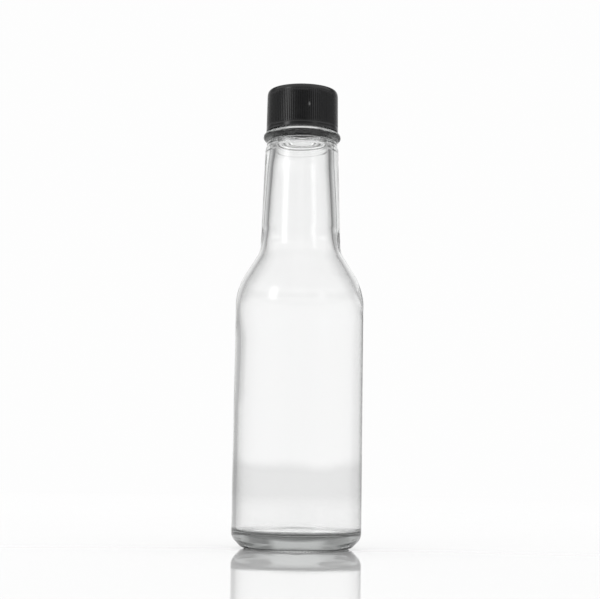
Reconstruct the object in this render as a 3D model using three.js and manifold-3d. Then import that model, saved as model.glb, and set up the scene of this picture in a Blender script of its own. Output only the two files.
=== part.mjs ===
// A long-necked glass sauce bottle, empty, closed by a black ribbed screw cap.
// Millimetres, +Z up. The origin is the middle of the ring that the bottle stands on.

import * as THREE from 'three';
import { mergeVertices } from 'three/addons/utils/BufferGeometryUtils.js';
import Module from 'manifold-3d';

const degrees = THREE.MathUtils.degToRad;

// Body and base
const bodyRadius = 23.35;
const bodyWall = 2.15;
const ringInside = 16.6;            // the flat ring that touches the table
const ringOutside = 19.4;
const pushUp = 2.6;                 // depth of the hollow under the base
const heelRadius = 4.6;
const heelSlope = degrees(45);
const floorEdge = 5.4;              // inside floor, at its rounded corner and at the middle
const floorMiddle = 8.15;
const cornerRadius = 1.8;

// Shoulder and neck
const shoulderStart = 87;           // where the straight side ends
const shoulderRadius = 22;
const shoulderWall = 2;
const shoulderSlope = degrees(31.5);
const filletRadius = 10;
const innerFilletRadius = 15.5;     // larger, so the wall thickens from the shoulder up to the neck
const neckBaseRadius = 14.5;
const neckWall = 2.95;
const neckTopRadius = 13.5;
const neckTop = 142.5;
const grooveRadius = 12.76;         // narrowest place, just under the bead
const groove = 148;

// Bead and screw finish
const beadRadius = 14.25;
const beadMiddle = 150.05;
const beadTop = 151.5;
const finishRadius = 10.75;
const finishTop = 166.05;
const lipRadius = 0.9;
const boreRadius = 7.9;
const boreEnd = 148.4;              // here the bore ends in a ledge at the top of the neck
const throatRadius = 9.7;
const throat = 147.4;

// Screw thread, one rounded ridge on the glass and one in the cap between its turns
const threadPitch = 3.18;
const threadTurns = 1.5;
const threadStart = 159.2;
const glassRidge = 1.15;
const capRidge = 0.5;

// Cap
const gap = 0.3;                    // clearance between cap and glass
const capFoot = beadTop + gap;
const capCeiling = finishTop + gap;
const capTop = capCeiling + 1.1;
const capRadius = 13.27;
const capCrownRadius = 13.12;
const capEdge = 1.2;                // rounding of the top edge, wide and tall
const capEdgeHeight = 2.4;
const capInside = 12.2;
const bandHeight = 1.65;            // plain band at the foot
const ribCount = 104;
const ribDepth = 0.18;
const footChamfer = 0.15;

const roundSteps = 40;
const threadSteps = 20;             // for each turn

const wasm = await Module();
wasm.setup();

function at(radius, height) {
  return new THREE.Vector2(radius, height);
}

function arc(centre, radius, from, to, steps, heightRadius = radius) {
  const curve = new THREE.EllipseCurve(centre.x, centre.y, radius, heightRadius, from, to, to < from);
  return curve.getPoints(steps);
}

function bend(from, pull, to, steps) {
  return new THREE.QuadraticBezierCurve(from, pull, to).getPoints(steps);
}

// Turns a profile of radius and height round the Z axis.
function turned(profile) {
  return new THREE.LatheGeometry(profile, roundSteps).rotateX(Math.PI / 2);
}

// A closed geometry as a solid for joining, without the flat slivers at the poles.
function solidOf(geometry) {
  const bare = geometry.clone();
  bare.deleteAttribute('normal');
  bare.deleteAttribute('uv');
  const merged = mergeVertices(bare.index ? bare.toNonIndexed() : bare);
  const triangles = [];
  for (let i = 0; i < merged.index.count; i += 3) {
    const corners = [0, 1, 2].map((k) => merged.index.getX(i + k));
    const isFlat = new Set(corners).size < 3;
    triangles.push(...(isFlat ? [] : corners));
  }
  const mesh = new wasm.Mesh({
    numProp: 3,
    vertProperties: merged.attributes.position.array,
    triVerts: new Uint32Array(triangles),
  });
  return new wasm.Manifold(mesh);
}

function joined(...geometries) {
  const solid = geometries.map(solidOf).reduce((whole, next) => whole.add(next));
  const { vertProperties, triVerts } = solid.getMesh();
  const geometry = new THREE.BufferGeometry();
  geometry.setAttribute('position', new THREE.BufferAttribute(vertProperties, 3));
  geometry.setIndex(new THREE.BufferAttribute(triVerts, 1));
  geometry.computeVertexNormals();
  return geometry;
}

class Helix extends THREE.Curve {
  constructor(radius, start) {
    super();
    this.radius = radius;
    this.start = start;
  }

  getPoint(t, target = new THREE.Vector3()) {
    const turn = t * threadTurns;
    const angle = turn * 2 * Math.PI;
    return target.set(
      this.radius * Math.cos(angle),
      this.radius * Math.sin(angle),
      this.start + turn * threadPitch,
    );
  }
}

function threadRidge(radius, start, thickness) {
  const section = new THREE.Shape().absarc(0, 0, thickness, 0, 2 * Math.PI);
  return new THREE.ExtrudeGeometry(section, {
    steps: threadTurns * threadSteps,
    curveSegments: 3,
    extrudePath: new Helix(radius, start),
    bevelEnabled: false,
  });
}

// Outside of the glass, from the middle of the base up to the bead.
function glassOutside() {
  const heelWidth = bodyRadius - heelRadius * (1 - Math.cos(heelSlope)) - ringOutside;
  const heelRise = heelWidth * Math.tan(heelSlope) + heelRadius * Math.sin(heelSlope);
  const heelCentre = at(bodyRadius - heelRadius, heelRise);
  const neckPull = at(neckTopRadius, (neckTop + groove) / 2);
  const shoulderCentre = at(bodyRadius - shoulderRadius, shoulderStart);
  const fillet = filletCentre(shoulderRadius, filletRadius, neckBaseRadius);
  return [
    ...bend(at(0, pushUp), at(ringInside / 2, pushUp), at(ringInside, 0), 3),
    at(ringOutside, 0),
    ...arc(heelCentre, heelRadius, -heelSlope, 0, 4),
    ...arc(shoulderCentre, shoulderRadius, 0, shoulderSlope, 5),
    ...arc(fillet, filletRadius, Math.PI + shoulderSlope, Math.PI, 4),
    ...bend(at(neckTopRadius, neckTop), neckPull, at(grooveRadius, groove), 3),
  ];
}

// Centre of the fillet below the neck. The shoulder's arc runs straight on up the slope into it.
function filletCentre(arcRadius, fillet, neckRadius) {
  const slopeTop = neckRadius + fillet * (1 - Math.cos(shoulderSlope));
  const slopeFoot = bodyRadius - shoulderRadius + arcRadius * Math.cos(shoulderSlope);
  const slopeRise = (slopeFoot - slopeTop) / Math.tan(shoulderSlope);
  const arcsRise = (arcRadius + fillet) * Math.sin(shoulderSlope);
  return at(neckRadius + fillet, shoulderStart + slopeRise + arcsRise);
}

// Bead, finish and lip, from the groove under the bead to the mouth.
function glassFinish() {
  const beadDepth = beadRadius - grooveRadius;
  const beadCorner = beadTop - beadMiddle;
  const lipOutside = at(finishRadius - lipRadius, finishTop - lipRadius);
  const lipInside = at(boreRadius + lipRadius, finishTop - lipRadius);
  return [
    ...arc(at(grooveRadius, beadMiddle), beadDepth, degrees(-80), 0, 3, beadMiddle - groove),
    ...arc(at(beadRadius - beadCorner, beadMiddle), beadCorner, degrees(22), degrees(90), 3),
    at(finishRadius, beadTop),
    ...arc(lipOutside, lipRadius, 0, degrees(90), 2),
    ...arc(lipInside, lipRadius, degrees(90), degrees(180), 2),
  ];
}

// Inside of the glass, from the bore down to the middle of the floor.
function glassInside() {
  const bodyInside = bodyRadius - bodyWall;
  const arcRadius = shoulderRadius - shoulderWall;
  const shoulderCentre = at(bodyRadius - shoulderRadius, shoulderStart);
  const fillet = filletCentre(arcRadius, innerFilletRadius, neckBaseRadius - neckWall);
  const corner = at(bodyInside - cornerRadius, floorEdge + cornerRadius);
  return [
    ...bend(at(boreRadius, boreEnd), at(throatRadius, boreEnd), at(throatRadius, throat), 5),
    ...arc(fillet, innerFilletRadius, Math.PI, Math.PI + shoulderSlope, 4),
    ...arc(shoulderCentre, arcRadius, shoulderSlope, 0, 5),
    ...arc(corner, cornerRadius, 0, degrees(-90), 4),
    ...bend(at(corner.x, floorEdge), at(corner.x / 2, floorMiddle), at(0, floorMiddle), 4).slice(1),
  ];
}

function bottleGeometry() {
  const glass = turned([...glassOutside(), ...glassFinish(), ...glassInside()]);
  return joined(glass, threadRidge(finishRadius, threadStart, glassRidge));
}

// Smooth core of the cap: crown, wall and plain band, hollow from below.
function capCore() {
  const ribFoot = capFoot + bandHeight;
  const crownFoot = capTop - capEdgeHeight;
  return turned([
    at(0, capCeiling),
    at(capInside, capCeiling),
    at(capInside, capFoot),
    at(capRadius - footChamfer, capFoot),
    at(capRadius, capFoot + footChamfer),
    at(capRadius, ribFoot),
    at(capRadius - ribDepth - footChamfer, ribFoot),
    at(capCrownRadius - ribDepth - footChamfer, crownFoot),
    ...arc(at(capCrownRadius - capEdge, crownFoot), capEdge, 0, degrees(90), 5, capEdgeHeight),
    at(0, capTop),
  ]);
}

// Ring of fine grip ribs that lean in with the wall, let into the band and the crown.
function capRibs() {
  const foot = capFoot + bandHeight - gap;
  const height = capTop - capEdgeHeight + gap - foot;
  const outline = new THREE.Shape();
  for (let i = 0; i < 2 * ribCount; i += 1) {
    const angle = (i * Math.PI) / ribCount;
    const radius = i % 2 ? capRadius - ribDepth : capRadius - footChamfer / 3;
    outline[i ? 'lineTo' : 'moveTo'](radius * Math.cos(angle), radius * Math.sin(angle));
  }
  outline.holes.push(new THREE.Path().absarc(0, 0, capInside + gap, 0, 2 * Math.PI, true));
  const ribs = new THREE.ExtrudeGeometry(outline, {
    depth: height,
    curveSegments: roundSteps / 2,
    bevelEnabled: false,
  });
  const draft = (capRadius - capCrownRadius) / (capRadius * height);
  const place = ribs.attributes.position;
  for (let i = 0; i < place.count; i += 1) {
    const lean = 1 - draft * place.getZ(i);
    place.setXY(i, place.getX(i) * lean, place.getY(i) * lean);
  }
  return ribs.translate(0, 0, foot);
}

function capGeometry() {
  const ridge = threadRidge(capInside - gap / 6, threadStart - threadPitch / 2, capRidge);
  return joined(capCore(), capRibs(), ridge);
}

function piece(name, geometry, look) {
  const mesh = new THREE.Mesh(geometry, new THREE.MeshStandardMaterial(look));
  mesh.name = name;
  return mesh;
}

const clearGlass = { color: 0xeaf1ef, roughness: 0.04, metalness: 0, transparent: true, opacity: 0.35 };
const blackPlastic = { color: 0x19191a, roughness: 0.42, metalness: 0 };

const sauceBottle = new THREE.Group();
sauceBottle.add(piece('bottle', bottleGeometry(), clearGlass));
sauceBottle.add(piece('cap', capGeometry(), blackPlastic));

export default sauceBottle;
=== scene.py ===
import math

import bpy
import numpy as np
from mathutils import Matrix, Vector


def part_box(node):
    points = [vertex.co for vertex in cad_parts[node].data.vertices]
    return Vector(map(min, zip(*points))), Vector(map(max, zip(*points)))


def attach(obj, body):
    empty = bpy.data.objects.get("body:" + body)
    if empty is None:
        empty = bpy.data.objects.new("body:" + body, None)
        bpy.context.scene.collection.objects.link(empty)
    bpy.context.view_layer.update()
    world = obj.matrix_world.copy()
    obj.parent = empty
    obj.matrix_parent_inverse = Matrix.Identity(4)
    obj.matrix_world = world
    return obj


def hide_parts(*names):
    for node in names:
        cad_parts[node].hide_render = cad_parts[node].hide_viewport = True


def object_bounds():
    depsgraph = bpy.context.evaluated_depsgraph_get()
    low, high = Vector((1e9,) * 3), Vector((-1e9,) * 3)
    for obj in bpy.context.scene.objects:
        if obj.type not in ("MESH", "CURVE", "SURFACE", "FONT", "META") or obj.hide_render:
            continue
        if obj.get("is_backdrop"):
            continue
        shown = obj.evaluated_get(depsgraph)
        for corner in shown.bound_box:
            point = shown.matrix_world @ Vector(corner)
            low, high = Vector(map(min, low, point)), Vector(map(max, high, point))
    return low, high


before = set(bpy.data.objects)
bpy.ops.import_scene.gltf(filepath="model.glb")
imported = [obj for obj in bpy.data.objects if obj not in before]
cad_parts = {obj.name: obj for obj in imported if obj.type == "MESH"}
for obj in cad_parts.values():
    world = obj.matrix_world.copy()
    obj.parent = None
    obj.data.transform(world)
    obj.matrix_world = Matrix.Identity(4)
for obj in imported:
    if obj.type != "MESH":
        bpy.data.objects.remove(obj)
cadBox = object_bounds()
print("frame loaded")

mm = 0.001
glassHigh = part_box("bottle")[1] / mm
capLow, capHigh = [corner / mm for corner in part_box("cap")]


# outlines: radius and height in millimetres, angles in degrees

def line(start, end, step):
    count = max(1, round(math.dist(start, end) / step))
    return np.linspace(start, end, count + 1)


def arc(centre, radius, start, end, step):
    count = max(2, round(radius * math.radians(abs(end - start)) / step))
    angle = np.radians(np.linspace(start, end, count + 1))
    return np.column_stack((centre[0] + radius * np.cos(angle), centre[1] + radius * np.sin(angle)))


def bend(start, pull, end, step):
    count = max(2, round((math.dist(start, pull) + math.dist(pull, end)) / step))
    t = np.linspace(0, 1, count + 1)[:, None]
    return (1 - t) ** 2 * np.array(start) + 2 * t * (1 - t) * np.array(pull) + t ** 2 * np.array(end)


def run(*parts):
    points = np.vstack(parts)
    keep = np.r_[True, np.hypot(*np.diff(points, axis=0).T) > 1e-4]
    return points[keep]


def hump(distance, width):
    return np.exp(-(distance / width) ** 2)


def ease(value, low, high):
    t = np.clip((value - low) / (high - low), 0, 1)
    return t * t * (3 - 2 * t)


def within(value, rise, fall):
    return ease(value, *rise) * (1 - ease(value, *fall))


def wrapped(angle):
    return (angle + np.pi) % (2 * np.pi) - np.pi


def evenly(count):
    return np.arange(count) * 2 * np.pi / count


def apart(angles, least):
    angles = np.sort(angles)
    return angles[np.r_[True, np.diff(angles) > least]]


def newPiece(name, places, faces):
    mesh = bpy.data.meshes.new(name)
    mesh.from_pydata(places, [], faces)
    piece = bpy.data.objects.new(name, mesh)
    bpy.context.scene.collection.objects.link(piece)
    return piece


class Turning:  # a closed skin wound from rings of points round the Z axis
    def __init__(self, name):
        self.name = name
        self.places = []
        self.faces = []
        self.count = 0
        self.last = None

    def pole(self, height):
        self.addRing(np.zeros(1), np.zeros(1), np.full(1, height))

    def addRing(self, angles, radius, height):
        x = radius * np.cos(angles)
        y = radius * np.sin(angles)
        self.places.append(np.column_stack((x, y, height + 0 * angles)))
        new = (self.count, angles)
        self.count += len(angles)
        if self.last:
            self.weave(self.last, new)
        self.last = new

    def addOutline(self, angles, outline):
        for radius, height in outline:
            self.addRing(angles, radius, height)

    def weave(self, below, above):
        (a, aAngles), (b, bAngles) = below, above
        na, nb = len(aAngles), len(bAngles)
        if na == 1:
            self.faces += [(a, b + (i + 1) % nb, b + i) for i in range(nb)]
        elif nb == 1:
            self.faces += [(a + i, a + (i + 1) % na, b) for i in range(na)]
        elif na == nb:
            self.faces += [(a + i, a + (i + 1) % na, b + (i + 1) % na, b + i) for i in range(na)]
        else:  # one ring is finer: its extra points join the coarse ring's steps
            fineIsAbove = nb > na
            fine, coarse = (bAngles, aAngles) if fineIsAbove else (aAngles, bAngles)
            marks = np.r_[np.searchsorted(fine, coarse - 1e-9), len(fine)]
            for i in range(len(coarse)):
                stretch = [k % len(fine) for k in range(marks[i], marks[i + 1] + 1)]
                j = (i + 1) % len(coarse)
                if fineIsAbove:
                    self.faces.append((a + i, a + j, *[b + k for k in reversed(stretch)]))
                else:
                    self.faces.append((*[a + k for k in stretch], b + j, b + i))

    def finish(self, sharp=None):
        piece = newPiece(self.name, (np.vstack(self.places) * mm).tolist(), self.faces)
        mesh = piece.data
        mesh.validate()
        mesh.shade_smooth()
        if sharp:
            mesh.set_sharp_from_angle(angle=math.radians(sharp))
        print(self.name, len(mesh.vertices), "points", len(mesh.polygons), "faces")
        return piece


# finishes

class Wire:  # a node's output that can be used in sums
    def __init__(self, board, socket):
        self.board = board
        self.socket = socket

    def maths(self, operation, first, second):
        return self.board.node("Math", {"operation": operation}, {0: first, 1: second})

    def __add__(self, other):
        return self.maths("ADD", self, other)

    def __radd__(self, other):
        return self.maths("ADD", other, self)

    def __sub__(self, other):
        return self.maths("SUBTRACT", self, other)

    def __rsub__(self, other):
        return self.maths("SUBTRACT", other, self)

    def __mul__(self, other):
        return self.maths("MULTIPLY", self, other)

    def __rmul__(self, other):
        return self.maths("MULTIPLY", other, self)

    def __truediv__(self, other):
        return self.maths("DIVIDE", self, other)

    def __rtruediv__(self, other):
        return self.maths("DIVIDE", other, self)

    def __pow__(self, other):
        return self.maths("POWER", self, other)

    def __rpow__(self, other):
        return self.maths("POWER", other, self)

    def __abs__(self):
        return self.board.node("Math", {"operation": "ABSOLUTE"}, {0: self})


class Board:  # the nodes of one finish, or of the studio's surroundings
    def __init__(self, owner):
        owner.use_nodes = True
        self.tree = owner.node_tree
        self.tree.nodes.clear()

    def node(self, kind, settings={}, sockets={}, out=0):
        made = self.tree.nodes.new("ShaderNode" + kind)
        for name, value in settings.items():
            setattr(made, name, value)
        for name, value in sockets.items():
            if isinstance(value, Wire):
                self.tree.links.new(value.socket, made.inputs[name])
            else:
                made.inputs[name].default_value = value
        return Wire(self, made.outputs[out]) if made.outputs else None

    def step(self, value, low, high):
        ends = {"Value": value, "From Min": low, "From Max": high}
        return self.node("MapRange", {"interpolation_type": "SMOOTHSTEP"}, ends)

    def blend(self, amount, first, second):
        return self.node("Mix", {"data_type": "RGBA"}, {0: amount, 6: first, 7: second}, 2)

    def split(self, vector):
        made = self.node("SeparateXYZ", {}, {0: vector})
        return [Wire(self, socket) for socket in made.socket.node.outputs]

    def noise(self, place, scale, detail=2, roughness=0.5):
        sizes = {"Vector": place, "Scale": scale, "Detail": detail, "Roughness": roughness}
        return self.node("TexNoise", {}, sizes)

    def ray(self, kind):
        return self.node("LightPath", out=kind)


def newFinish(name):
    material = bpy.data.materials.new(name)
    return material, Board(material)


# the glass bottle

glass = {
    "around": 160, "seamPoints": (0.4, 0.8, 1.3),  # points in a ring, and closer ones beside each seam
    "pole": 0.6,  # radius of the first ring round a pole
    # base: a ring of fine bars round a hollow, then the heel
    "pushUp": 2.6, "hollowPull": 0.55, "hollowEdge": 1.2,
    "ringInside": 16.6, "ringOutside": 19.4, "ringLift": 0.45, "ringEdge": 0.75,
    "ringPull": 0.4, "ringRound": 0.3, "ringMargin": 0.5, "barCount": 104, "barSteps": 6,
    "heelRadius": 4.6, "heelSlope": 45,
    # shoulder and neck
    "shoulderStart": 87, "shoulderRadius": 22, "shoulderSlope": 31.5,
    "filletRadius": 10, "neckFoot": 14.5,
    "neckTop": (13.42, 145.3), "neckTopPull": (13.38, 145.75),
    "stepFoot": (13.1, 145.9), "stepTop": (13.02, 147.1), "stepPull": (12.98, 147.5),
    "groove": (12.78, 147.95), "groovePull": (12.72, 148.3),
    # bead and screw finish
    "beadRadius": 14.25, "beadMiddle": 150.05, "beadRound": 1.45,
    "beadFoot": (13.3, 148.5), "beadPull": (14.2, 148.85),
    "finishRadius": 10.75, "finishFillet": (0.4, 0.5), "lip": 0.9, "boreRadius": 7.9, "boreEnd": 148.4,
    "threadPitch": 3.18, "threadStart": 159.2, "threadTurns": 1.5, "threadFade": 0.06,
    "threadHeight": 1.1, "threadWidth": 1.2,
    # inside
    "throat": (9.7, 147.4), "neckPull": (11.2, 128),
    "neckWall": 2.95, "shoulderWall": 2.0, "bodyWall": 2.15,
    "thinning": (74, 87), "thickening": (106, 122), "insetPastFoot": 6,
    "cornerRadius": 1.8, "floorEdge": 5.4, "floorMiddle": 8.15,
    # how the wall settled: thickness at both sides by height, lean of the neck's bore, and a wave in
    # front with its heading, height, slope, reach upwards and reach round in radians
    "leftWall": ((10, 1.95), (48, 1.9), (57, 2.1), (74, 2.2), (86, 1.9)),
    "rightWall": ((10, 0.95), (86, 0.8)), "sidePower": 6,
    "neckLean": 0.18, "settled": (-69, 30.6, 0.0055, 16, 0.24),
    "bodyRise": (15, 20), "bodyFall": (82, 95), "neckRise": (104, 114), "neckFall": (138, 145),
    # ripples inside the body, inside the neck and outside
    "rippleRows": 7, "rippleTurns": (1, 6), "rippleLength": (90, 220),
    "bodyRipple": 0.03, "neckRipple": 0.05, "outerRipple": 0.02,
    "outerRise": (8, 20), "outerFall": (138, 146),
    "seam": 0.05, "seamWidth": 0.22, "seamRise": (3, 8), "seamFall": (23.2, 23.36),
    # finish
    "ior": 1.52, "tint": (0.04, 0.08, 0.06, 1), "tintDensity": 16,
    "rough": 0.004, "smearRough": 0.02, "floorRough": 0.03, "wornRough": 0.05,
    "floorRadius": (18.8, 19.6), "floorRise": (3.4, 4.4), "floorFall": (8.5, 9), "wornTop": (2.8, 4.0),
    "dent": 0.05, "dentDepth": 0.6,
}


def filletCentre(arcRadius, fillet, neck):
    # the shoulder's arc runs on straight, then into the fillet below the neck
    s = glass
    slope = math.radians(s["shoulderSlope"])
    top = neck + fillet - fillet * math.cos(slope)
    foot = glassHigh.x - s["shoulderRadius"] + arcRadius * math.cos(slope)
    rise = (foot - top) / math.tan(slope) + (arcRadius + fillet) * math.sin(slope)
    return neck + fillet, s["shoulderStart"] + rise


def glassBase():
    s = glass
    inner, outer, lift = s["ringInside"], s["ringOutside"], s["ringLift"]
    edge = (inner - s["hollowEdge"], s["ringEdge"])
    hollow = run(
        bend((s["pole"], s["pushUp"]), (inner * s["hollowPull"], s["pushUp"]), edge, step=1.1),
        bend(edge, (inner - s["ringPull"], lift), (inner + s["ringRound"], lift), step=0.35))
    ring = line((inner + s["ringMargin"], lift), (outer - s["ringMargin"], lift), step=0.28)
    return hollow, ring


def glassSide():
    s = glass
    body = glassHigh.x
    outer, lift, edge = s["ringOutside"], s["ringLift"], s["ringEdge"]
    slope = math.radians(s["heelSlope"])
    width = body - s["heelRadius"] * (1 - math.cos(slope)) - outer
    heel = (body - s["heelRadius"], width * math.tan(slope) + s["heelRadius"] * math.sin(slope))
    shoulder = (body - s["shoulderRadius"], s["shoulderStart"])
    fillet = filletCentre(s["shoulderRadius"], s["filletRadius"], s["neckFoot"])
    bead = (s["beadRadius"], s["beadMiddle"])
    beadEdge = (s["beadRadius"] - s["beadRound"], s["beadMiddle"] + s["beadRound"])
    return run(
        bend((outer - s["ringRound"], lift), (outer + lift, lift), (outer + edge, edge), step=0.25),
        arc(heel, s["heelRadius"], -s["heelSlope"], 0, step=0.35),
        line((body, heel[1]), (body, s["shoulderStart"]), step=1.0),
        arc(shoulder, s["shoulderRadius"], 0, s["shoulderSlope"], step=0.6),
        arc(fillet, s["filletRadius"], 180 + s["shoulderSlope"], 180, step=0.5),
        line((s["neckFoot"], fillet[1]), s["neckTop"], step=0.9),
        bend(s["neckTop"], s["neckTopPull"], s["stepFoot"], step=0.2),
        line(s["stepFoot"], s["stepTop"], step=0.3),
        bend(s["stepTop"], s["stepPull"], s["groove"], step=0.15),
        bend(s["groove"], s["groovePull"], s["beadFoot"], step=0.15),
        bend(s["beadFoot"], s["beadPull"], bead, step=0.15),
        arc((beadEdge[0], bead[1]), s["beadRound"], 0, 90, step=0.12),
        line(beadEdge, (s["finishRadius"] + s["finishFillet"][0], beadEdge[1]), step=0.6))


def glassFinish():
    s = glass
    top, foot = glassHigh.z, s["beadMiddle"] + s["beadRound"]
    wide, lip, bore = s["finishRadius"], s["lip"], s["boreRadius"]
    across, up = s["finishFillet"]
    return run(
        bend((wide + across, foot), (wide, foot), (wide, foot + up), step=0.3),
        line((wide, foot + up), (wide, top - lip), step=0.3),
        arc((wide - lip, top - lip), lip, 0, 90, step=0.3),
        arc((bore + lip, top - lip), lip, 90, 180, step=0.3),
        line((bore, top - lip), (bore, s["boreEnd"]), step=1.2))


def inset(points, wall):
    # the outline moved inwards along its own normals
    along = np.gradient(points, axis=0)
    normal = np.column_stack((-along[:, 1], along[:, 0])) / np.hypot(*along.T)[:, None]
    return points + normal * wall[:, None]


def shoulderInside():
    s = glass
    side = glassSide()
    neckFoot = filletCentre(s["shoulderRadius"], s["filletRadius"], s["neckFoot"])[1]
    shoulder = side[(side[:, 1] > s["thinning"][0]) & (side[:, 1] < neckFoot + s["insetPastFoot"])]
    thin = s["bodyWall"] + (s["shoulderWall"] - s["bodyWall"]) * ease(shoulder[:, 1], *s["thinning"])
    thick = (s["neckWall"] - s["shoulderWall"]) * ease(shoulder[:, 1], *s["thickening"])
    return inset(shoulder, thin + thick)[::-1]


def glassInside():
    s = glass
    bore, throat, middle = s["boreRadius"], s["throat"], s["floorMiddle"]
    body = glassHigh.x - s["bodyWall"]
    corner = (body - s["cornerRadius"], s["floorEdge"] + s["cornerRadius"])
    shoulder = shoulderInside()
    return run(
        bend((bore, s["boreEnd"]), (throat[0], s["boreEnd"]), throat, step=0.15),
        bend(throat, s["neckPull"], shoulder[0], step=0.9),
        shoulder,
        line(shoulder[-1], (body, corner[1]), step=0.9),
        arc(corner, s["cornerRadius"], 0, -90, step=0.25),
        bend((corner[0], s["floorEdge"]), (corner[0] / 2, middle), (s["pole"], middle), step=0.8))


def ripple(angle, height, seed):
    # slow unevenness of blown glass, between -1 and 1
    draw = np.random.default_rng(seed)
    lap = 6.28
    total = 0
    for _ in range(glass["rippleRows"]):
        turns = draw.integers(*glass["rippleTurns"])
        length = draw.uniform(*glass["rippleLength"])
        around = np.cos(turns * angle + draw.uniform(0, lap))
        total = total + around * np.cos(lap * height / length + draw.uniform(0, lap))
    return total / glass["rippleRows"]


def threadRidge(angle, height, start, width):
    # a screw thread's rounded ridge at this height, from 0 to 1, fading in and out at its ends
    turns, fade = glass["threadTurns"], glass["threadFade"]
    ridge = 0
    for lap in range(math.ceil(turns)):
        turn = angle / (2 * np.pi) + lap
        away = height - (start + turn * glass["threadPitch"])
        present = within(turn, (0, fade), (turns - fade, turns))
        ridge = np.maximum(ridge, present * np.sqrt(np.clip(1 - (away / width) ** 2, 0, 1)))
    return ridge


def wallAt(points, height):
    # thickness along a side, with an easy curve from each measured place to the next
    value = points[0][1]
    for (low, first), (high, second) in zip(points, points[1:]):
        value = value + (second - first) * ease(height, low, high)
    return value


def innerWall(angle, radius, height):
    # the glass settled unevenly as it was blown, so the two sides of the body differ
    s = glass
    inBody = ease(radius, *s["bodyRise"]) * (1 - ease(height, *s["bodyFall"]))
    inNeck = within(height, s["neckRise"], s["neckFall"])
    wave = inBody * s["bodyRipple"] * ripple(angle, height, 5)
    wave = wave + inNeck * (s["neckRipple"] * ripple(angle, height, 9) - s["neckLean"] * np.cos(angle))
    extra = 0
    for side, wall in ((-1, s["leftWall"]), (1, s["rightWall"])):
        onSide = np.clip(side * np.cos(angle), 0, 1) ** s["sidePower"]
        extra = extra + onSide * (wallAt(wall, height) - s["bodyWall"])
    # in front a shallow wave, where the wall grows thicker upwards
    place, middle, slope, reachUp, reachRound = s["settled"]
    above = height - middle
    aside = wrapped(angle - math.radians(place))
    extra = extra + slope * above * hump(above, reachUp) * hump(aside, reachRound)
    return radius - inBody * extra + wave


def outerWall(angle, radius, height):
    # two mould seams down the sides, and a slight sway, inside the widest radius
    s = glass
    seam = s["seam"] * sum(hump(wrapped(angle - at) * radius, s["seamWidth"]) for at in (0, np.pi))
    seam = seam * (1 - ease(radius, *s["seamFall"])) * ease(height, *s["seamRise"])
    sway = s["outerRipple"] * ripple(angle, height, 2) * within(height, s["outerRise"], s["outerFall"])
    return np.minimum(radius + seam + sway, glassHigh.x)


def blownBottle():
    s = glass
    close = np.radians(s["seamPoints"])
    angles = np.r_[evenly(s["around"]), close, 2 * np.pi - close, np.pi - close, np.pi + close]
    angles = apart(angles, 1e-4)
    fine = apart(np.r_[angles, evenly(s["barSteps"] * s["barCount"])], 1e-6)
    skin = Turning("glass_bottle")
    skin.pole(s["pushUp"])
    hollow, ring = glassBase()
    skin.addOutline(angles, hollow)
    bars = np.clip(0.5 + 0.5 * np.cos(s["barCount"] * fine), 0, 1) ** 2
    inner, outer = s["ringInside"] + s["ringRound"], s["ringOutside"] - s["ringRound"]
    for radius, height in ring:
        across = min(max((radius - inner) / (outer - inner), 0), 1)
        crown = math.sin(math.pi * across) ** 0.5
        skin.addRing(fine, radius, height * (1 - bars * crown))
    for radius, height in glassSide():
        skin.addRing(angles, outerWall(angles, radius, height), height)
    for radius, height in glassFinish():
        onWall = height < glassHigh.z - s["lip"] and radius > s["finishRadius"] - 0.01
        ridge = threadRidge(angles, height, s["threadStart"], s["threadWidth"]) if onWall else 0
        skin.addRing(angles, radius + s["threadHeight"] * ridge, height)
    for radius, height in glassInside():
        skin.addRing(angles, innerWall(angles, radius, height), height)
    skin.pole(s["floorMiddle"])
    return skin.finish()


def clearGlass():
    s = glass
    material, board = newFinish("clearGlass")
    place = board.node("TexCoord", out="Object")
    sway = board.noise(place, 90, 1)
    skin = board.noise(place, 420, 2)
    smear = board.step(board.noise(place, 34, 4, 0.6), 0.55, 0.75)
    dent = board.node("Bump", {}, {
        "Strength": s["dent"], "Distance": s["dentDepth"] * mm, "Height": 0.8 * sway + 0.05 * skin})
    x, y, z = board.split(place)
    height = z / mm
    inFloor = 1 - board.step((x * x + y * y) ** 0.5 / mm, *s["floorRadius"])
    inFloor = inFloor * board.step(height, *s["floorRise"]) * (1 - board.step(height, *s["floorFall"]))
    worn = 1 - board.step(height, *s["wornTop"])  # the heel rubs on tables and on other bottles
    rough = s["rough"] + s["smearRough"] * smear + s["floorRough"] * inFloor + s["wornRough"] * worn
    body = board.node("BsdfPrincipled", {}, {
        "Base Color": (1, 1, 1, 1), "Roughness": rough, "IOR": s["ior"],
        "Transmission Weight": 1.0, "Normal": dent})
    depth = board.node("VolumeAbsorption", {}, {"Color": s["tint"], "Density": s["tintDensity"]})
    board.node("OutputMaterial", {}, {"Surface": body, "Volume": depth})
    return material


bottle = blownBottle()
bottle.data.materials.append(clearGlass())
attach(bottle, "root")
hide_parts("bottle")


# the screw cap

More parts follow.
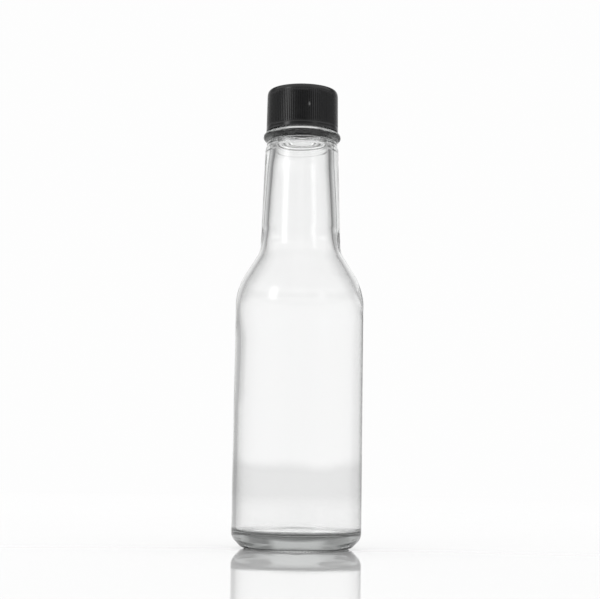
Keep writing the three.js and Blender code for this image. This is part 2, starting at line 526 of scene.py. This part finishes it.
cap = {
    "ribCount": 104, "ribSteps": 8, "ribDepth": 0.18, "grooveEase": 8,  # wide ribs, narrow grooves
    "ribShy": 0.05,  # the ribs and the crown stay this far back from the band
    "ribFade": (0.05, 0.5), "ribTopFade": 1.2, "ribTop": 0.6,
    "crownRadius": 13.12, "edge": (1.2, 2.4), "edgeLean": (0.06, 0.8), "edgeRings": (0.2, 0.4, 0.6),
    "inside": 12.2, "roof": 1.1, "corner": 0.4, "mouth": (0.15, 0.3),
    "bandHeight": 1.65, "chamfer": 0.15, "bandEdge": 0.1,
    "threadHeight": 0.55, "threadStart": 157.6, "threadWidth": 0.7,
    "topRings": (8, 5, 2.6),
    "gate": ((1.3, 0), (1.0, 0.12), (0.55, 0.14), (0.4, 0.02)),  # dimple where the plastic was fed in
    # a small nick among the ribs, with its heading, height, depth, width and length
    "nickAngle": -79.3, "nickHeight": 159.8, "nickDepth": 0.14, "nickWidth": 0.4, "nickLength": 0.7,
    "scuff": (0.35, 1.5, 0.7), "scuffRough": 0.2, "scuffShare": 0.7, "dustShare": 0.015,
    # finish
    "ior": 1.49, "dark": (0.003, 0.003, 0.0035, 1), "darkPale": (0.006, 0.006, 0.0065, 1),
    "dust": (0.2, 0.2, 0.2, 1), "rough": 0.12, "cloudRough": 0.06, "ribRough": 0.06,
    "ribbedRise": (1.5, 1.9), "ribbedFall": (2.0, 1.2),
    "grain": 0.12, "grainDepth": 0.06,
}


def capInside(skin, angles, ceiling, foot):
    c = cap
    wall, corner = c["inside"], c["corner"]
    skin.pole(ceiling)
    for radius in np.linspace(2, wall - corner, 6):
        skin.addRing(angles, radius, ceiling)
    out, up = c["mouth"]
    for radius, height in run(
            arc((wall - corner, ceiling - corner), corner, 90, 0, step=0.2),
            line((wall, ceiling - corner), (wall, foot + up), step=0.5),
            line((wall, foot + up), (wall + out, foot), step=0.3)):
        ridge = threadRidge(angles, height, c["threadStart"], c["threadWidth"])
        skin.addRing(angles, radius - c["threadHeight"] * ridge, height)


def capBand(skin, angles, wide, foot, ribFoot):
    chamfer, edge = cap["chamfer"], cap["bandEdge"]
    skin.addRing(angles, wide - chamfer - 0.3, foot)
    skin.addOutline(angles, arc((wide - chamfer, foot + chamfer), chamfer, -90, 0, step=0.06))
    skin.addRing(angles, wide, ribFoot - 0.6)
    skin.addOutline(angles, arc((wide - edge, ribFoot - edge), edge, 0, 70, step=0.05))


def capRibs(skin, angles, groove, wide, ribFoot, crownFoot):
    c = cap
    heights = np.r_[ribFoot + 0.02, ribFoot + 0.12, np.linspace(ribFoot + 0.3, crownFoot - 0.35, 22),
                    crownFoot - 0.2, crownFoot - 0.1]
    below, above = c["ribFade"]
    nickAside = wrapped(angles - math.radians(c["nickAngle"])) * wide
    for height in heights:
        lean = wide + (c["crownRadius"] - wide) * (height - ribFoot) / (crownFoot - ribFoot)
        depth = c["ribDepth"] * ease(height, ribFoot - below, ribFoot + above)
        depth = depth * (1 - (1 - c["ribTop"]) * ease(height, crownFoot - c["ribTopFade"], crownFoot))
        nick = hump(nickAside, c["nickWidth"]) * hump(height - c["nickHeight"], c["nickLength"])
        skin.addRing(angles, lean - c["ribShy"] - depth * groove - c["nickDepth"] * nick, height)


def capCrown(skin, fine, coarse, groove, crownFoot, top):
    # the edge leans in while the ribs run out, then rounds over to the flat top
    c = cap
    across, tall = c["edge"]
    lean, rise = c["edgeLean"]
    wide = c["crownRadius"]
    for height in c["edgeRings"]:
        depth = c["ribTop"] * c["ribDepth"] * (1 - ease(height, c["edgeRings"][0], rise))
        radius = wide - lean * height / rise - c["ribShy"]
        skin.addRing(fine, radius - depth * groove, crownFoot + height)
    for radius, height in arc((0, 0), 1, 0, 82, step=0.1):
        edge = wide - across + (across - lean) * radius
        skin.addRing(fine, edge - c["ribShy"], crownFoot + rise + (tall - rise) * height)
    skin.addRing(coarse, wide - across - 0.4, top)
    for radius in c["topRings"]:
        skin.addRing(coarse, radius, top)
    for radius, depth in c["gate"]:
        skin.addRing(coarse, radius, top - depth)
    skin.pole(top - c["gate"][-1][1])


def ribbedCap():
    c = cap
    top, foot, wide = capHigh.z, capLow.z, capHigh.x
    ribFoot, crownFoot = foot + c["bandHeight"], top - c["edge"][1]
    coarse = evenly(c["ribCount"])
    fine = evenly(c["ribCount"] * c["ribSteps"])
    groove = np.abs(2 * ((c["ribCount"] * fine / (2 * np.pi)) % 1) - 1) ** c["grooveEase"]
    skin = Turning("ribbed_cap")
    capInside(skin, coarse, top - c["roof"], foot)
    capBand(skin, fine, wide, foot, ribFoot)
    capRibs(skin, fine, groove, wide, ribFoot, crownFoot)
    capCrown(skin, fine, coarse, groove, crownFoot, top)
    return skin.finish(sharp=40)


def blackPlastic():
    c = cap
    material, board = newFinish("blackPlastic")
    place = board.node("TexCoord", out="Object")
    grain = board.noise(place, 5200, 2)
    cloud = board.noise(place, 260, 3, 0.6)
    dust = board.step(board.noise(place, 1500, 3, 0.7), 0.66, 0.78)
    x, y, z = board.split(place)
    heading = math.radians(c["nickAngle"])
    nick = (capHigh.x * math.cos(heading), capHigh.x * math.sin(heading), c["nickHeight"])
    away = 0
    for axis, middle, reach in zip((x, y, z), nick, c["scuff"]):
        share = (axis - middle * mm) / (reach * mm)
        away = away + share * share
    scuff = (1 - board.step(away, 0.2, 1.6)) * board.step(grain, 0.3, 0.55)
    colour = board.blend(cloud, c["dark"], c["darkPale"])
    colour = board.blend(c["dustShare"] * dust, colour, c["dust"])
    colour = board.blend(c["scuffShare"] * scuff, colour, c["dust"])
    ribbed = board.step(z, *[(capLow.z + up) * mm for up in c["ribbedRise"]])
    ribbed = ribbed * (1 - board.step(z, *[(capHigh.z - down) * mm for down in c["ribbedFall"]]))
    rough = c["rough"] + c["cloudRough"] * cloud + c["ribRough"] * ribbed + c["scuffRough"] * scuff
    dent = board.node("Bump", {}, {
        "Strength": c["grain"], "Distance": c["grainDepth"] * mm, "Height": grain})
    body = board.node("BsdfPrincipled", {}, {
        "Base Color": colour, "Roughness": rough, "IOR": c["ior"], "Normal": dent})
    board.node("OutputMaterial", {}, {"Surface": body})
    return material


lid = ribbedCap()
lid.data.materials.append(blackPlastic())
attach(lid, "root")
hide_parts("cap")
print("glass and cap made")


# the studio, in metres

studio = {
    "floorRadius": 4.0, "floorSides": 96, "floorColour": (0.8, 0.8, 0.8, 1), "floorRoughness": 0.025,
    "floorIor": 1.45,
    # the floor by its distance from the middle: a painted shadow under the ring, a painted shadow
    # where it is seen through the base alone, painted shade where it is seen through the glass and at
    # the sides, glowing far away
    "hollow": (0.0135, 0.0165), "ringShadowReach": (0.0205, 0.025, 0.2), "baseShadowReach": (0.082, 0.104, 0.8),
    "baseSkins": (2.2, 2.8), "throughGlassShade": 0.21,
    "shadeFrom": (0.1, 0.3), "floorFar": (0.3, 0.9), "glow": 0.985, "floorThrough": 0.86,
    # the white backdrop, its skyline at the table's far edge, and the light from everywhere
    "white": 0.985, "ambient": 1.18, "skyline": (-0.007, 0.004, 0.17),
    # the surroundings darken from one heading to another, in degrees to the side of straight behind,
    # more widely high up than near the table
    "leftHigh": ((14, 34, 0.36), (32, 54, 0.36)), "rightHigh": ((16, 34, 0.36), (34, 56, 0.42)),
    "leftLow": ((12, 26, 0.5), (40, 52, -0.22)), "rightLow": ((12, 22, 0.62), (34, 48, -0.32)),
    "lowTop": (0.1, 0.22), "shadeEnd": (70, 88), "shadeFront": (-0.3, 0.0),
    "ceiling": (0.35, 0.62, 0.55), "lift": (0.23, 0.36, 0.5), "liftWidth": (0.1, 0.3),
    # what the glass and the cap mirror in front
    "dark": 0.04, "backFrom": (0.0, 0.5), "lowPanel": (0, 60, 0.2),
    "lowFront": (0.16, 0.24, 0.7), "highFront": (0.29, 0.42, 0.9),
    # heading, rise, distance, width, height and strength of each soft box
    "boxes": {
        "left": (-50, 21, 1.0, 0.46, 0.56, 3.4),
        "right": (40, 21, 1.0, 0.46, 0.56, 1.1),
    },
    "boxAim": 0.09, "boxFoot": 0.28, "boxTop": 0.05,
}


def shadeSteps(board, heading, left, right):
    dark = 0
    for side, steps in ((-1, studio[left]), (1, studio[right])):
        for start, end, share in steps:
            dark = dark + share * board.step(side * heading, math.radians(start), math.radians(end))
    return dark


def sideShade(board, x, y, high):
    # dark cards at both sides of the white backdrop, which draw the edges of the glass; on the floor
    # this is painted side shade
    heading = board.node("Math", {"operation": "ARCTAN2"}, {0: x, 1: abs(y)})
    lowDark = shadeSteps(board, heading, "leftLow", "rightLow")
    highDark = shadeSteps(board, heading, "leftHigh", "rightHigh")
    beside = 1 - board.step(abs(heading), *[math.radians(edge) for edge in studio["shadeEnd"]])
    behind = board.step(y, *studio["shadeFront"])
    return 1 - (lowDark + high * (highDark - lowDark)) * beside * behind


def paleFloor():
    angle = evenly(studio["floorSides"])
    rim = np.column_stack((np.cos(angle), np.sin(angle), 0 * angle)) * studio["floorRadius"]
    floor = newPiece("pale_floor", rim.tolist(), [tuple(range(studio["floorSides"]))])
    material, board = newFinish("paleFloor")
    x, y, z = board.split(board.node("TexCoord", out="Object"))
    away = (x * x + y * y) ** 0.5
    far = board.step(away, *studio["floorFar"])
    bent = board.ray("Is Transmission Ray")
    turned = board.ray("Is Glossy Ray")  # this counts rays through the glass too
    sides = sideShade(board, x, y, 0)
    pastHollow = board.step(away, *studio["hollow"])
    # painted contact shadow: the floor's colour darkens in a ring under the bottle's standing ring
    start, end, depth = studio["ringShadowReach"]
    ringShadow = depth * pastHollow * (1 - board.step(away, start, end))
    # painted shadow behind the base: the floor darkens there only where it is seen through the base
    # alone
    start, end, depth = studio["baseShadowReach"]
    throughBase = 1 - board.step(board.ray("Transmission Depth"), *studio["baseSkins"])
    behind = depth * pastHollow * throughBase * (1 - board.step(away, start, end))
    # painted shade for the floor seen through the glass: darker at the sides and dimmer past the
    # hollow, applied below only to rays through the glass
    beside = board.step(away, *studio["shadeFrom"]) * (1 - sides)
    through = (1 - studio["throughGlassShade"] * pastHollow) * (1 - behind) * (1 - beside)
    colour = board.blend(ringShadow, studio["floorColour"], (0, 0, 0, 1))
    colour = board.blend(bent * (1 - through), colour, (0, 0, 0, 1))
    near = board.node("BsdfPrincipled", {}, {
        "Base Color": colour, "Roughness": studio["floorRoughness"], "IOR": studio["floorIor"]})
    # painted side shade in the far floor's glow, for mirrored rays and rays through the glass
    seen = 1 - turned * (1 - studio["floorThrough"] * sides)
    glow = board.node("Emission", {}, {"Color": seen, "Strength": studio["glow"]})
    both = board.node("MixShader", {}, {0: far, 1: near, 2: glow})
    board.node("OutputMaterial", {}, {"Surface": both})
    floor.data.materials.append(material)
    floor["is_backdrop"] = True


def softBox(name, heading, rise, distance, width, height, strength):
    w, h = width / 2, height / 2
    box = newPiece(name, [(-w, -h, 0), (w, -h, 0), (w, h, 0), (-w, h, 0)], [(0, 1, 2, 3)])
    turn = Matrix.Rotation(math.radians(heading), 4, "Z")
    turn = turn @ Matrix.Rotation(math.pi / 2 - math.radians(rise), 4, "X")
    aim = Matrix.Translation((0, 0, studio["boxAim"]))
    box.matrix_world = aim @ turn @ Matrix.Translation((0, 0, distance))
    box.visible_camera = False
    material, board = newFinish(name)
    x, y, z = board.split(board.node("TexCoord", out="Object"))
    rimX = 1 - board.step(abs(x), 0, w)
    rimY = board.step(y, -h, -height * studio["boxFoot"])
    rimY = rimY * (1 - board.step(y, height * studio["boxTop"], h))
    light = board.node("Emission", {}, {"Color": (1, 1, 1, 1), "Strength": strength})
    clear = board.node("BsdfTransparent")
    soft = board.node("MixShader", {}, {0: rimX * rimY, 1: clear, 2: light})
    board.node("OutputMaterial", {}, {"Surface": soft})
    box.data.materials.append(material)
    box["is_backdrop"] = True


def paleSurroundings():
    world = bpy.data.worlds.new("paleSurroundings")
    bpy.context.scene.world = world
    board = Board(world)
    x, y, z = board.split(board.node("TexCoord", out="Generated"))
    start, end, drop = studio["skyline"]
    through = 1 - drop * (1 - board.step(z, start, end))
    through = through * sideShade(board, x, y, board.step(z, *studio["lowTop"]))
    start, end, share = studio["lift"]
    narrow = 1 - board.step(abs(x), *studio["liftWidth"])
    through = through * (1 + share * board.step(z, start, end) * narrow)
    start, end, share = studio["ceiling"]
    through = through * (1 - share * board.step(z, start, end))
    start, end, share = studio["lowPanel"]
    front = studio["dark"] + share * board.step(abs(x), start, math.sin(math.radians(end)))
    start, end, share = studio["lowFront"]
    front = front + share * (1 - board.step(z, start, end))
    start, end, share = studio["highFront"]
    front = front + share * board.step(z, start, end)
    mirrored = front + board.step(y, *studio["backFrom"]) * (through - front)
    camera = board.ray("Is Camera Ray")
    sharp = 1 - board.step(board.ray("Diffuse Depth"), 0.2, 0.8)  # no matt surface on the way
    glossy = sharp * board.ray("Is Glossy Ray")
    bent = sharp * board.ray("Is Transmission Ray")
    room = glossy * mirrored + (1 - glossy) * studio["ambient"]
    room = bent * through + (1 - bent) * room
    seen = camera * studio["white"] + (1 - camera) * room
    light = board.node("Background", {}, {"Color": seen, "Strength": 1})
    board.node("OutputWorld", {}, {"Surface": light})


paleFloor()
for side, sizes in studio["boxes"].items():
    softBox(side + "_soft_box", *sizes)
paleSurroundings()
print("studio lit")


# the camera, where the photograph was taken from: millimetres and degrees

camera = {
    "distance": 511.7, "height": 30.6, "aside": 0.11,
    "tilt": 6.6, "roll": 0.87, "focal": 1410 / 600, "sensor": 36, "reach": 20,
    "bounces": {"max": 40, "transmission": 32, "glossy": 16, "diffuse": 4},
}

lens = bpy.data.cameras.new("camera")
lens.sensor_width = camera["sensor"]
lens.lens = camera["sensor"] * camera["focal"]
lens.clip_end = camera["reach"]
eye = bpy.data.objects.new("camera", lens)
bpy.context.scene.collection.objects.link(eye)
stand = Matrix.Translation((camera["aside"] * mm, -camera["distance"] * mm, camera["height"] * mm))
tilt = Matrix.Rotation(math.radians(90 + camera["tilt"]), 4, "X")
eye.matrix_world = stand @ tilt @ Matrix.Rotation(math.radians(camera["roll"]), 4, "Z")

scene = bpy.context.scene
scene.camera = eye
scene.view_settings.view_transform = "Standard"
for kind, count in camera["bounces"].items():
    setattr(scene.cycles, kind + "_bounces", count)
print("camera set")

sizes = [[list(corner) for corner in box] for box in (cadBox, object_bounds())]
